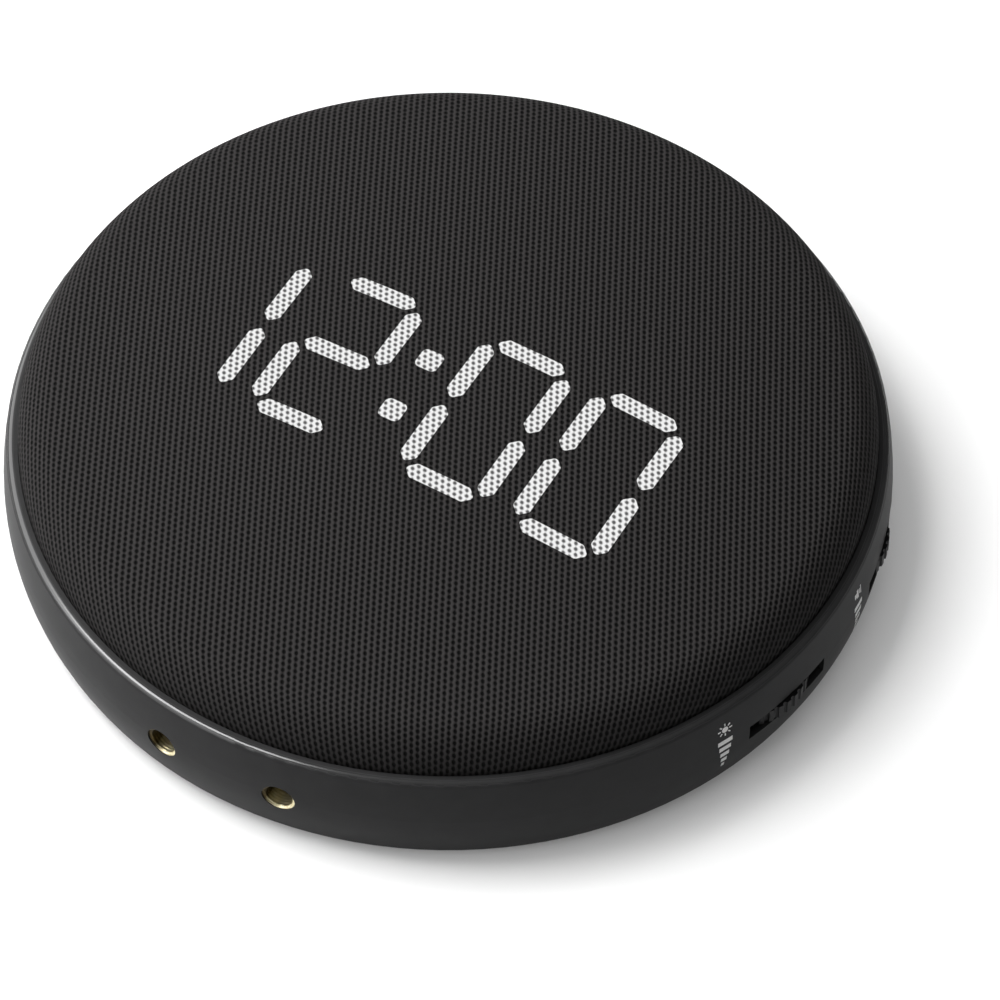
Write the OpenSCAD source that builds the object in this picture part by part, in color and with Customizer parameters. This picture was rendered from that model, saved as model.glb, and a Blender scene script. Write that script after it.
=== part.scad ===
// A round vibrating alarm clock: a low moulded rim with a cloth-covered dome on top,
// a digit display that shines through the cloth, two thumbwheels and two brass-lined
// stand sockets in the rim, and a rear cover with the set buttons and the cell door.
// Millimetres. The origin is on the table under the centre, +Z is up, the display's
// six o'clock is -Y and its three o'clock is +X.

/* [Rim] */
// Outer radius of the rim at its widest
body_r = 65.4; // [62:0.2:70]
// Height of the rim wall
rim_h = 17.3; // [16.5:0.1:19]
// Thickness of the rim wall at its widest
wall_t = 2.4; // [2.2:0.1:2.6]
// Rounding of the rim's upper edge
lip_r = 1; // [0.8:0.1:1.2]
// Height of the widest place above the rim's foot
belly_h = 9.4; // [8.5:0.1:10]
// How far the wall draws in below that, at its foot
tuck_in = 2.05; // [1.5:0.05:2.4]
// How far the wall draws in above that, at its upper edge
draw_in = 0.8; // [0.5:0.05:1]
// Height of the thicker foot that the rear cover fits into
seat_h = 4; // [3.5:0.25:4.2]
// Thickness of that foot at the table
seat_t = 2; // [1.6:0.1:2.4]
// Width of the ledge inside the rim that carries the dome panel
ledge_w = 4.5; // [4:0.25:5]
// Thickness of the ledge
ledge_t = 2; // [1.6:0.1:2.2]
// Height of the thumbwheels, inserts and inlet above the rim's foot
fitting_h = 8.9; // [8.8:0.1:9.4]
// Room from the axis of the inserts and the inlet up to the ledge
ledge_clear = 2.7; // [2.6:0.1:3]

/* [Dome and cloth] */
// Radius of the dome's crown
crown_r = 340; // [320:5:420]
// Radius of the dome's shoulder
shoulder_r = 6; // [5:0.25:7]
// How far the cloth stands upright above the rim before the shoulder
cover_rise = 1.5; // [1:0.1:2.4]
// Thickness of the cloth
cloth_t = 0.5; // [0.3:0.05:0.7]
// Thickness of the dome panel under the cloth
panel_t = 1.8; // [1.4:0.1:2.2]
// Gap between the cloth and the rim
cloth_gap = 0.1; // [0.05:0.05:0.2]

/* [Display] */
// Digit height between the centres of its top and bottom bars
digit_h = 26.5; // [24:0.5:28]
// Digit width between the centres of its upright bars
digit_w = 12.8; // [12:0.1:14]
// Width of a bar
stroke = 2.7; // [2:0.1:3.2]
// Gap between the points of neighbouring bars
bar_gap = 0.85; // [0.5:0.05:1]
// Distance between the upright bars of neighbouring digits
digit_gap = 5.9; // [5:0.05:7]
// Distance between the upright bars on either side of the colon
colon_gap = 12.2; // [10:0.1:14]
// Side of a colon dot
dot_w = 3.2; // [2.4:0.1:3.6]
// Place of the colon, to the right of the centre
display_x = -3.75; // [-6:0.25:2]
// Place of the digits, above the centre
display_y = -4.25; // [-6:0.25:2]
// Margin of the display housing around the digits
housing_margin = 2.4; // [2:0.1:3]
// Height of the display board's upper face above the table
display_z = 18.8; // [18.2:0.1:19.4]
// Depth of the light guides in the housing
guide_t = 2; // [1.5:0.1:3]
// Width of the display board's side tabs
tab_w = 6; // [5.5:0.25:7]

/* [Thumbwheels] */
// Radius of a thumbwheel
wheel_r = 10; // [9.6:0.1:10.2]
// Thickness of a thumbwheel
wheel_t = 2.4; // [2:0.1:2.4]
// How far a thumbwheel stands out of the wall
wheel_proud = 0.6; // [0.4:0.1:0.9]
// Grip notches around a thumbwheel
wheel_notches = 40; // [30:1:48]
// Radius of a grip notch
notch_r = 0.42; // [0.3:0.02:0.45]
// Direction midway between the two thumbwheels, in degrees
wheel_mid = 2.7; // [0:0.1:6]
// Angle between the two thumbwheels
wheel_spread = 28; // [27:0.5:32]
// Length of a thumbwheel slot
slot_l = 16.6; // [16.4:0.1:18]
// Room above and below a thumbwheel in its slot
slot_gap = 0.3; // [0.2:0.05:0.4]
// Radius of the thumbwheel's shaft
pot_shaft_r = 2; // [1.8:0.1:2.4]
// Radius of the potentiometer body
pot_r = 6.5; // [5.5:0.25:7]
// Height of the potentiometer body
pot_h = 1.7; // [1.5:0.1:1.8]

/* [Stand inserts] */
// Outer radius of a brass insert
insert_r = 2.55; // [2.3:0.05:2.8]
// Radius of an insert's bore
insert_bore_r = 2.1; // [1.8:0.05:2.15]
// Length of an insert
insert_l = 6.5; // [5:0.5:8]
// How deep an insert's end lies below the wall
insert_recess = 0.3; // [0.2:0.05:1]
// Direction midway between the inserts, in degrees
insert_mid = 270; // [268:0.2:274]
// Angle between the inserts
insert_spread = 17.1; // [14:0.1:20]
// Wall of the boss around an insert
insert_wall = 1.8; // [1.5:0.1:2.2]

/* [Rear cover] */
// Thickness of the rear cover
cover_t = 2; // [1.8:0.1:2.2]
// Gap around the rear cover
cover_gap = 0.2; // [0.1:0.05:0.3]
// How far the feet stand below the rear cover
foot_h = 0.6; // [0.5:0.1:1]
// Radius of a foot
foot_r = 5; // [4:0.25:6]
// Depth of a foot's recess
foot_sink = 1; // [0.6:0.1:1.2]
// Distance of the feet from the rim's inner face
foot_inset = 11; // [10:0.5:12]
// Direction of the first foot, in degrees
foot_turn = 25; // [22:1:28]
// Distance of the cover screws from the rim's inner face
screw_inset = 6.5; // [6.25:0.25:7]
// Height of the pads around the cover screws
screw_pad_h = 1; // [0.6:0.1:1.2]

/* [Set buttons] */
// Radius of a set button
button_r = 4; // [3.5:0.1:4.5]
// Travel of a set button
button_travel = 0.3; // [0.2:0.05:0.35]
// How deep a button's face lies below the rear cover
button_sink = 0.3; // [0.2:0.1:0.6]
// Distance of the buttons from the rim's inner face
button_inset = 21; // [20:0.5:23]
// Direction of the last button, in degrees
button_last = 96; // [94:1:98]
// Distance between neighbouring buttons
button_pitch = 11.7; // [11.4:0.1:12.4]

/* [Mode slider] */
// Place of the slider along X
slider_x = 22; // [20:0.5:24]
// Place of the slider along Y
slider_y = 4; // [2:0.5:6]
// Length of the slider's grip
slider_l = 5; // [4.5:0.25:5.5]
// Width of the slider's grip
slider_w = 3; // [2.6:0.1:3.4]
// Travel of the slider to each side
slider_travel = 2; // [1.5:0.25:2.25]

/* [Cell] */
// Radius of the backup cell
cell_r = 10; // [8:0.5:10]
// Height of the backup cell
cell_h = 3.2; // [2.5:0.1:3.2]
// Distance of the cell's axis from the rim's inner face
cell_inset = 17.65; // [17.5:0.05:18]
// Direction of the cell, in degrees
cell_turn = 228.6; // [227:0.2:229]

/* [Speaker] */
// Radius of the loudspeaker
speaker_r = 20; // [18:0.5:20]
// Place of the loudspeaker along X
speaker_x = -20; // [-21:0.5:-19]
// Place of the loudspeaker along Y
speaker_y = 14; // [13:0.5:15]
// Radius of a grille hole
grille_r = 0.9; // [0.6:0.1:1.1]
// Distance between rings of grille holes
grille_step = 4.2; // [4:0.1:4.6]

/* [Vibration motor] */
// Radius of the motor can
motor_r = 6; // [5:0.25:6.25]
// Length of the motor can
motor_l = 20; // [16:0.5:21]
// Distance of the motor's rear end from the cell's well
motor_gap = 4.1; // [4:0.1:6]
// Distance of the motor's axis from the rim's inner face
motor_inset = 25; // [24:0.5:26]
// Height of the motor's axis above the rear cover's inner face
motor_h = 7; // [6.8:0.1:7.4]
// Radius of the motor shaft
motor_shaft_r = 1; // [0.75:0.05:1.25]
// Radius of the off-centre weight
weight_r = 6; // [5:0.25:6]
// Length of the off-centre weight
weight_l = 6; // [4:0.5:8]

/* [Power inlet] */
// Radius of the inlet's bore
inlet_bore_r = 1.8; // [1.6:0.05:2]
// Radius of the inlet's centre pin
inlet_pin_r = 0.65; // [0.5:0.05:0.7]
// Radius of the opening in the wall for the plug
inlet_hole_r = 3; // [2.8:0.1:3.2]
// Direction of the inlet, in degrees
inlet_turn = 180; // [178:1:182]

/* [Hidden] */

$fn = 64;
// Facets of the great crown circle, fine enough that its chords stay flat
crown_fn = 256;
// A cut runs this far past the face that it opens
past = 1;
// Play of a running fit, a sliding fit and a seat that only rests
run_gap = 0.05;
slide_gap = 0.2;
rest_gap = 0.15;

// Levels above the table
base_z = foot_h;
rim_top = base_z + rim_h;
cover_top = base_z + cover_t;
fitting_z = base_z + fitting_h;
ledge_bot = fitting_z + ledge_clear;
ledge_top = ledge_bot + ledge_t;
wheel_bot = fitting_z - wheel_t / 2;
wheel_top = fitting_z + wheel_t / 2;
board_t = 1.2;
board_top = wheel_bot - slide_gap - pot_h;
board_bot = board_top - board_t;
display_bot = display_z - board_t;

// Rim
wall_in = body_r - wall_t;
seat_in = body_r - tuck_in - seat_t;
ledge_in = wall_in - ledge_w;
belly_z = base_z + belly_h;
tuck_arc = (belly_h * belly_h + tuck_in * tuck_in) / (2 * tuck_in);
draw_h = rim_h - belly_h;
draw_arc = (draw_h * draw_h + draw_in * draw_in) / (2 * draw_in);
// The lip's arc is tangent to the wall's arc and to the level upper edge
lip_turn = asin((draw_h - lip_r) / (draw_arc - lip_r));
lip_x = body_r - draw_arc + (draw_arc - lip_r) * cos(lip_turn);
lip_z = belly_z + draw_arc * sin(lip_turn);

// Dome: the crown arc is tangent to the shoulder arc, which ends upright at the rim
cover_r = wall_in - cloth_gap;
shoulder_z = rim_top + cover_rise;
shoulder_x = cover_r - shoulder_r;
crown_turn = asin(shoulder_x / (crown_r - shoulder_r));
crown_z = shoulder_z - (crown_r - shoulder_r) * cos(crown_turn);
panel_d = cloth_t + cloth_gap / 2;
cloth_foot = ledge_top + rest_gap;
// Small step where the panel's inner bevel meets its crown
bevel_step = 0.3;

// Digits: the uprights of the first digit's one pair, then three full digits
digit_left = [
    display_x - colon_gap / 2 - digit_w,
    display_x + colon_gap / 2,
    display_x + colon_gap / 2 + digit_w + digit_gap];
one_x = digit_left[0] - digit_gap;
digits_right = digit_left[2] + digit_w;
housing_x0 = one_x - stroke / 2 - housing_margin;
housing_x1 = digits_right + stroke / 2 + housing_margin;
housing_y0 = display_y - digit_h / 2 - stroke / 2 - housing_margin;
housing_y1 = display_y + digit_h / 2 + stroke / 2 + housing_margin;
guide_gap = 0.1;
// Bars lit at twelve o'clock, by digit: top, upper right, lower right, bottom, lower left, upper left, middle
bars_lit = [[1, 1, 0, 1, 1, 0, 1], [1, 1, 1, 1, 1, 1, 0], [1, 1, 1, 1, 1, 1, 0]];
display_screw_at = [
    for (x = [housing_x0 - tab_w / 2, housing_x1 + tab_w / 2], y = [housing_y0 + 4, housing_y1 - 4]) [x, y]];

// Thumbwheels
wheel_ring = body_r + wheel_proud - wheel_r;
wheel_at = [wheel_mid - wheel_spread / 2, wheel_mid + wheel_spread / 2];

// Main board
board_r = wall_in - 3;
board_screw_ring = board_r - 3;
board_screw_at = [wheel_mid, 90, 125, 192];
boss_r = 3;
header_l = 20;
header_w = 2.5;
// Distances of the stacking connector from the display board's edges
header_in = 7.75;
header_edge = 1.4;

// Small screws: head, clearance hole, pilot hole, and how far they bite
small_head_r = 1.9;
small_head_h = 1;
clear_r = 1.2;
pilot_r = 0.9;
display_bite = 3;
board_bite = 4;
strap_bite = 1.6;

// Rear cover
cover_r_out = seat_in - cover_gap;
// Depth that ribs and pads are rooted in the cover
bed = cover_t / 2;
screw_head_r = 2.2;
screw_head_h = 1.3;
screw_sink = 1.5;
pad_top = cover_top + screw_pad_h;
screw_ring = wall_in - screw_inset;
// Directions of the cover screws, clear of the wheels, the inlet and the cell
screw_at = [65, 158, 248, 328];
foot_ring = wall_in - foot_inset;
foot_at = [for (i = [0 : 3]) foot_turn + 90 * i];

// Buttons
button_ring = wall_in - button_inset;
button_step = 2 * asin(button_pitch / 2 / button_ring);
button_flange = 1;
flange_t = 0.5;
flange_bot = cover_top + rest_gap;
nub_top = flange_bot + flange_t + 0.15;
tact_w = 5.2;
tact_h = 1;

// Cell and its door
cell_x = (wall_in - cell_inset) * cos(cell_turn);
cell_y = (wall_in - cell_inset) * sin(cell_turn);
door_r = cell_r + 2.5;
door_t = 1.1;
door_neck_r = cell_r + 0.9;
lug_r = door_neck_r + 1.3;
lug_t = 0.6;
lug_turn = 34;
well_r = lug_r + 0.4;
well_t = 1.3;
cell_bot = cover_top + rest_gap + lug_t + rest_gap;
spring_h = 0.9;
well_top = cell_bot + cell_h + spring_h;
// The main board stops short of the cell's well
board_front = cell_y + well_r + well_t + 2.1;

// Motor
motor_x = cell_x + well_r + well_t + motor_gap;
motor_y = motor_inset - wall_in;
motor_z = cover_top + motor_h;
shaft_out = weight_l + 3;
strap_t = 0.8;
strap_w = 7;
strap_foot = 6;
strap_z = cover_top + 2.4;

// Power inlet
inlet_l = 9.5;
inlet_w = 7;
inlet_front = wall_in - slide_gap;

// Speaker
speaker_ring_t = 1.2;
flange_h = 1.2;
cone_h = 3;
magnet_r = speaker_r * 0.55;
magnet_h = 3.2;

module at(turn, ring) { rotate([0, 0, turn]) translate([ring, 0, 0]) children(); }

module tube(r_out, r_in, h) {
    difference() {
        cylinder(h = h, r = r_out);
        translate([0, 0, -past]) cylinder(h = h + 2 * past, r = r_in);
    }
}

// A pan head screw standing on its head, with a crossed recess in the head
module screw(head_r, head_h, shank_r, shank_l) {
    recess_w = 0.5;
    difference() {
        union() {
            cylinder(h = head_h, r = head_r);
            cylinder(h = head_h + shank_l, r = shank_r);
        }
        for (a = [0, 90]) {
            rotate([0, 0, a]) translate([-head_r * 0.55, -recess_w / 2, -past])
                cube([head_r * 1.1, recess_w, past + head_h / 2]);
        }
    }
}

// A round rod from one point to another
module rod(a, b, r) {
    d = b - a;
    l = norm(d);
    translate(a) rotate([0, acos(d[2] / l), atan2(d[1], d[0])]) cylinder(h = l, r = r, $fn = 24);
}

// An insulated wire through the given points, a little fuller at its bends
module wire(points, r) {
    bend_swell = 1.25;
    for (i = [0 : len(points) - 2]) {
        rod(points[i], points[i + 1], r);
    }
    for (i = [1 : len(points) - 2]) {
        translate(points[i]) sphere(bend_swell * r, $fn = 24);
    }
}

// Half outline of all that lies under the dome's skin, set in from the cloth's face by d
module dome_outline(d, floor_z) {
    join_x = (crown_r - d) * sin(crown_turn);
    intersection() {
        translate([0, crown_z]) circle(crown_r - d, $fn = crown_fn);
        translate([0, floor_z]) square([join_x, 2 * rim_top]);
    }
    translate([join_x, floor_z]) square([cover_r - d - join_x, shoulder_z - floor_z]);
    intersection() {
        translate([shoulder_x, shoulder_z]) circle(shoulder_r - d);
        translate([join_x, shoulder_z]) square(shoulder_r);
    }
}

// Everything below the dome's crown, set in by d
module under_crown(d) { translate([0, 0, crown_z]) sphere(crown_r - d, $fn = crown_fn); }

// Rim

// Half outline of the rim: foot, wall bowed out to its widest place, rounded lip, and ledge
module rim_outline() {
    intersection() {
        union() {
            translate([seat_in, base_z]) square([body_r - seat_in, seat_h]);
            translate([wall_in, base_z]) square([wall_t, belly_h]);
        }
        translate([body_r - tuck_arc, belly_z]) circle(tuck_arc, $fn = crown_fn);
    }
    difference() {
        intersection() {
            translate([wall_in, belly_z]) square([wall_t, draw_h]);
            translate([body_r - draw_arc, belly_z]) circle(draw_arc, $fn = crown_fn);
        }
        difference() {
            translate([lip_x, lip_z]) square(2 * lip_r);
            translate([lip_x, rim_top - lip_r]) circle(lip_r);
        }
    }
    translate([ledge_in, ledge_bot]) square([ledge_w + wall_t / 2, ledge_t]);
}

// A screw boss hung from the ledge and tied to the wall by a web
module hung_boss(ring, foot_z) {
    boss_l = ledge_top - ledge_t / 2 - foot_z;
    translate([ring, 0, foot_z]) cylinder(h = boss_l, r = boss_r);
    translate([ring, -wall_t / 2, foot_z]) cube([wall_in + wall_t / 2 - ring, wall_t, boss_l]);
}

module boss_pilot(ring, foot_z) {
    translate([ring, 0, foot_z - past]) cylinder(h = 7 + past, r = pilot_r);
}

insert_boss_in = body_r - insert_recess - insert_l - 1.5;

module insert_axis(side) {
    rotate([0, 0, insert_mid + side * insert_spread / 2]) translate([0, 0, fitting_z]) rotate([0, 90, 0])
        children();
}

module rim_shell() {
    color("#3a3a3c") difference() {
        union() {
            rotate_extrude($fn = 128) rim_outline();
            for (a = screw_at) {
                rotate([0, 0, a]) hung_boss(screw_ring, pad_top);
            }
            for (a = board_screw_at) {
                rotate([0, 0, a]) hung_boss(board_screw_ring, board_top);
            }
            for (side = [-1, 1]) {
                insert_axis(side) translate([0, 0, insert_boss_in])
                    cylinder(h = wall_in + wall_t / 2 - insert_boss_in, r = insert_r + insert_wall);
            }
        }
        for (a = screw_at) {
            rotate([0, 0, a]) boss_pilot(screw_ring, pad_top);
        }
        for (a = board_screw_at) {
            rotate([0, 0, a]) boss_pilot(board_screw_ring, board_top);
        }
        for (side = [-1, 1]) {
            insert_axis(side) translate([0, 0, body_r - insert_recess - insert_l])
                cylinder(h = insert_l + insert_recess + past, r = insert_r);
        }
        for (a = wheel_at) {
            rotate([0, 0, a]) translate([wall_in - ledge_w, -slot_l / 2, wheel_bot - slot_gap])
                cube([2 * ledge_w + wall_t, slot_l, wheel_t + 2 * slot_gap]);
        }
        rotate([0, 0, inlet_turn]) translate([wall_in - past, 0, fitting_z]) rotate([0, 90, 0])
            cylinder(h = wall_t + 2 * past, r = inlet_hole_r);
    }
}

// Dome panel and cloth

// Half outline of the hollow under the panel, bevelled at the shoulder
module panel_hollow() {
    d = panel_d + panel_t;
    floor_z = ledge_top - past;
    join_x = (crown_r - d) * sin(crown_turn);
    join_z = crown_z + (crown_r - d) * cos(crown_turn) - bevel_step;
    intersection() {
        translate([0, crown_z]) circle(crown_r - d, $fn = crown_fn);
        translate([0, floor_z]) square([join_x, 2 * rim_top]);
    }
    polygon([[join_x - past, floor_z], [cover_r - d, floor_z], [cover_r - d, shoulder_z],
        [join_x, join_z], [join_x - past, join_z]]);
}

module dome_panel() {
    color("#222224") difference() {
        union() {
            rotate_extrude($fn = 128) difference() {
                dome_outline(panel_d, ledge_top);
                panel_hollow();
            }
            intersection() {
                for (p = display_screw_at) {
                    translate([p[0], p[1], display_z]) cylinder(h = rim_h, r = boss_r - 0.4);
                }
                under_crown(panel_d + panel_t / 2);
            }
        }
        translate([housing_x0 - guide_gap, housing_y0 - guide_gap, display_z + 1])
            cube([housing_x1 - housing_x0 + 2 * guide_gap, housing_y1 - housing_y0 + 2 * guide_gap, rim_h]);
        for (p = display_screw_at) {
            translate([p[0], p[1], display_z - past]) cylinder(h = past + 1.2 * display_bite, r = pilot_r);
        }
    }
}

module fabric_cover() {
    color("#1c1c1e") rotate_extrude($fn = 128) difference() {
        dome_outline(0, cloth_foot);
        dome_outline(cloth_t, cloth_foot - past);
    }
}

// Display

// A bar lying along X with pointed ends, its outline set in all round by d
module bar(l, d) {
    h = stroke / 2 - d;
    e = l / 2 - bar_gap - d * 1.4;
    polygon([[-e, 0], [h - e, h], [e - h, h], [e, 0], [e - h, -h], [h - e, -h]]);
}

// One bar of a digit whose left upright stands at the origin, level with its middle
module digit_bar(i, d) {
    half = digit_h / 2;
    x = [digit_w / 2, digit_w, digit_w, digit_w / 2, 0, 0, digit_w / 2][i];
    y = [half, half / 2, -half / 2, -half, -half / 2, half / 2, 0][i];
    flat = i == 0 || i == 3 || i == 6;
    translate([x, y]) rotate(flat ? 0 : 90) bar(flat ? digit_w : half, d);
}

module first_digit(d) {
    for (side = [-1, 1]) {
        translate([one_x, display_y + side * digit_h / 4]) rotate(90) bar(digit_h / 2, d);
    }
}

module colon(d) {
    w = dot_w - 2 * d;
    for (side = [-1, 1]) {
        translate([display_x - w / 2, display_y + side * digit_h / 5 - w / 2]) square(w);
    }
}

module digits(lit, d) {
    for (k = [0 : 2], i = [0 : 6]) {
        if (bars_lit[k][i] == lit) {
            translate([digit_left[k], display_y]) digit_bar(i, d);
        }
    }
}

module housing_block(x0, x1, y0, y1) {
    intersection() {
        translate([x0, y0, display_z]) cube([x1 - x0, y1 - y0, rim_h]);
        under_crown(panel_d);
    }
}

module display_housing() {
    color("#151516") difference() {
        housing_block(housing_x0, housing_x1, housing_y0, housing_y1);
        translate([0, 0, display_z - past]) linear_extrude(2 * rim_h) {
            first_digit(0);
            colon(0);
            digits(1, 0);
            digits(0, 0);
        }
    }
}

// Light guides stand in the mouths of the housing's pockets
module guides() {
    difference() {
        intersection() {
            translate([0, 0, display_z]) linear_extrude(rim_h) children();
            under_crown(panel_d);
        }
        under_crown(panel_d + guide_t);
    }
}

module lit_guides() {
    color("#f4f4f2") guides() {
        first_digit(guide_gap);
        colon(guide_gap);
        digits(1, guide_gap);
    }
}

module dark_guides() { color("#c8c8c6") guides() digits(0, guide_gap); }

led = [1.6, 0.8, 0.7];

module led_chip(turn) { rotate([0, 0, turn]) translate([-led[0] / 2, -led[1] / 2, 0]) cube(led); }

module segment_leds() {
    half = digit_h / 2;
    color("#f0e8c0") translate([0, display_y, display_z]) {
        for (side = [-1, 1]) {
            translate([one_x, side * half / 2]) led_chip(90);
            translate([display_x, side * digit_h / 5]) led_chip(0);
        }
        for (k = [0 : 2], y = [-half, 0, half]) {
            translate([digit_left[k] + digit_w / 2, y]) led_chip(0);
        }
        for (k = [0 : 2], x = [0, digit_w], y = [-half / 2, half / 2]) {
            translate([digit_left[k] + x, y]) led_chip(90);
        }
    }
}

module display_board() {
    color("#1f4a30") difference() {
        translate([housing_x0 - tab_w, housing_y0, display_bot])
            cube([housing_x1 - housing_x0 + 2 * tab_w, housing_y1 - housing_y0, board_t]);
        for (p = display_screw_at) {
            translate([p[0], p[1], display_bot - past]) cylinder(h = board_t + 2 * past, r = clear_r);
        }
    }
}

module display_screws() {
    color("#b8b8bc") for (p = display_screw_at) {
        translate([p[0], p[1], display_bot - small_head_h])
            screw(small_head_r, small_head_h, pilot_r, board_t + display_bite);
    }
}

// Stacking connector between the two boards
module board_header() {
    color("#202022")
        translate([housing_x1 - header_in - header_l, housing_y1 - header_edge - header_w, board_top])
        cube([header_l, header_w, display_bot - board_top]);
}

// Main board

module main_board() {
    color("#1f4a30") translate([0, 0, board_bot]) difference() {
        cylinder(h = board_t, r = board_r, $fn = 128);
        translate([-2 * board_r, board_front - 2 * board_r, -past])
            cube([4 * board_r, 2 * board_r, board_t + 2 * past]);
        translate([speaker_x, speaker_y, -past]) cylinder(h = board_t + 2 * past, r = speaker_r + slide_gap);
        for (a = screw_at) {
            rotate([0, 0, a]) translate([screw_ring, 0, -past]) {
                cylinder(h = board_t + 2 * past, r = boss_r + slide_gap);
                translate([0, -boss_r - slide_gap, 0])
                    cube([board_r, 2 * (boss_r + slide_gap), board_t + 2 * past]);
            }
        }
        for (a = board_screw_at) {
            at(a, board_screw_ring) translate([0, 0, -past]) cylinder(h = board_t + 2 * past, r = clear_r);
        }
    }
}

// Components on the main board: corner and size of each block, place and size of each can
chips = [[8, 18, 10, 10, 1.4], [24, 20, 5, 4, 1.4], [33, -8, 6, 5, 1.6], [12, 33, 8, 3.2, 3.2]];
cans = [[20, -10, 3, 7], [inlet_l + 3.3 - inlet_front, 4, 2.5, 6]];

module board_chips() {
    color("#18181a") translate([0, 0, board_top]) {
        for (c = chips) {
            translate([c[0], c[1], 0]) cube([c[2], c[3], c[4]]);
        }
        for (c = cans) {
            translate([c[0], c[1], 0]) cylinder(h = c[3], r = c[2]);
        }
    }
}

module board_screws() {
    color("#b8b8bc") for (a = board_screw_at) {
        at(a, board_screw_ring) translate([0, 0, board_bot - small_head_h])
            screw(small_head_r, small_head_h, pilot_r, board_t + board_bite);
    }
}

// Thumbwheels and their potentiometers

module pot(turn) {
    color("#2a2a2c") at(turn, wheel_ring) translate([0, 0, board_top])
        tube(pot_r, pot_shaft_r + run_gap, pot_h);
}

// The shaft is round in the body and flat on one side in the wheel
module pot_shaft(turn) {
    shaft_l = wheel_top - board_top - slide_gap;
    color("#a8a8ac") at(turn, wheel_ring) translate([0, 0, board_top + slide_gap]) difference() {
        cylinder(h = shaft_l, r = pot_shaft_r);
        translate([pot_shaft_r * 0.6, -pot_shaft_r, pot_h]) cube([pot_shaft_r, 2 * pot_shaft_r, shaft_l]);
        translate([0, 0, shaft_l - 3]) cylinder(h = 3 + past, r = 0.8);
    }
}

module thumbwheel(turn) {
    color("#2b2b2d") at(turn, wheel_ring) translate([0, 0, wheel_bot]) difference() {
        cylinder(h = wheel_t, r = wheel_r, $fn = 128);
        for (i = [0 : wheel_notches - 1]) {
            at(360 / wheel_notches * i, wheel_r + notch_r * 0.2) translate([0, 0, -past])
                cylinder(h = wheel_t + 2 * past, r = notch_r, $fn = 24);
        }
        difference() {
            translate([0, 0, -past]) cylinder(h = wheel_t + 2 * past, r = pot_shaft_r);
            translate([pot_shaft_r * 0.6, -pot_shaft_r, 0])
                cube([pot_shaft_r, 2 * pot_shaft_r, wheel_t + 2 * past]);
        }
    }
}

module wheel_screw(turn) {
    color("#b8b8bc") at(turn, wheel_ring) translate([0, 0, wheel_top + 1]) mirror([0, 0, 1])
        screw(pot_shaft_r + 0.5, 1, 0.8, 2.6);
}

module dimmer_pot() { pot(wheel_at[0]); }
module dimmer_shaft() { pot_shaft(wheel_at[0]); }
module dimmer_wheel() { thumbwheel(wheel_at[0]); }
module dimmer_screw() { wheel_screw(wheel_at[0]); }
module volume_pot() { pot(wheel_at[1]); }
module volume_shaft() { pot_shaft(wheel_at[1]); }
module volume_wheel() { thumbwheel(wheel_at[1]); }
module volume_screw() { wheel_screw(wheel_at[1]); }

// Stand inserts, chamfered at the mouth

module insert(side) {
    chamfer = 0.2;
    color("#c8a24a") insert_axis(side) translate([0, 0, body_r - insert_recess - insert_l]) difference() {
        cylinder(h = insert_l, r = insert_r);
        translate([0, 0, -past]) cylinder(h = insert_l + 2 * past, r = insert_bore_r);
        translate([0, 0, insert_l - chamfer])
            cylinder(h = 2 * chamfer, r1 = insert_bore_r, r2 = insert_bore_r + 2 * chamfer);
    }
}

module left_insert() { insert(-1); }
module right_insert() { insert(1); }

// Power inlet

module inlet_frame() { rotate([0, 0, inlet_turn]) children(); }

module power_inlet() {
    color("#1a1a1c") inlet_frame() difference() {
        translate([inlet_front - inlet_l, -inlet_w / 2, board_top])
            cube([inlet_l - 0.4, inlet_w, 2 * (fitting_z - board_top) - 0.8]);
        translate([inlet_front - inlet_l + 1.5, 0, fitting_z]) rotate([0, 90, 0])
            cylinder(h = inlet_l + past, r = inlet_bore_r);
    }
}

module inlet_pin() {
    color("#c8c8cc") inlet_frame() translate([inlet_front - inlet_l + 1.5, 0, fitting_z]) rotate([0, 90, 0])
        cylinder(h = inlet_l - 3, r = inlet_pin_r);
}

// Loudspeaker, facing down onto the grille in the rear cover

module speaker_frame() { translate([speaker_x, speaker_y, cover_top]) children(); }

module speaker_basket() {
    color("#4a4a4e") speaker_frame() {
        tube(speaker_r, speaker_r - 2.5, flange_h);
        translate([0, 0, flange_h]) difference() {
            cylinder(h = cone_h + 1, r1 = speaker_r - 1, r2 = magnet_r);
            translate([0, 0, -0.01]) cylinder(h = cone_h, r1 = speaker_r - 2.5, r2 = magnet_r - 1.5);
        }
    }
}

module speaker_cone() {
    rise = cone_h - 0.8;
    color("#2c2a28") speaker_frame() translate([0, 0, flange_h - 0.6]) {
        tube(speaker_r - 2.6, speaker_r - 4.4, 0.5);
        difference() {
            cylinder(h = rise, r1 = speaker_r - 4, r2 = magnet_r - 3.5);
            translate([0, 0, -0.6]) cylinder(h = rise, r1 = speaker_r - 4, r2 = magnet_r - 3.5);
        }
    }
}

module speaker_magnet() {
    color("#6a6a6e") speaker_frame() translate([0, 0, flange_h + cone_h + 1]) {
        cylinder(h = magnet_h, r = magnet_r);
    }
}

// Vibration motor, lying along X in a cradle on the rear cover

module motor_frame() { translate([motor_x, motor_y, motor_z]) rotate([0, 90, 0]) children(); }

module motor_can() {
    color("#b0b0b4") motor_frame() difference() {
        union() {
            translate([0, 0, 1.5]) cylinder(h = motor_l - 1.5, r = motor_r);
            translate([0, 0, motor_l]) cylinder(h = 1, r = motor_r * 0.4);
        }
        translate([0, 0, 1.5 - past]) cylinder(h = motor_l + 2 * past, r = motor_shaft_r + run_gap);
    }
}

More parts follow.
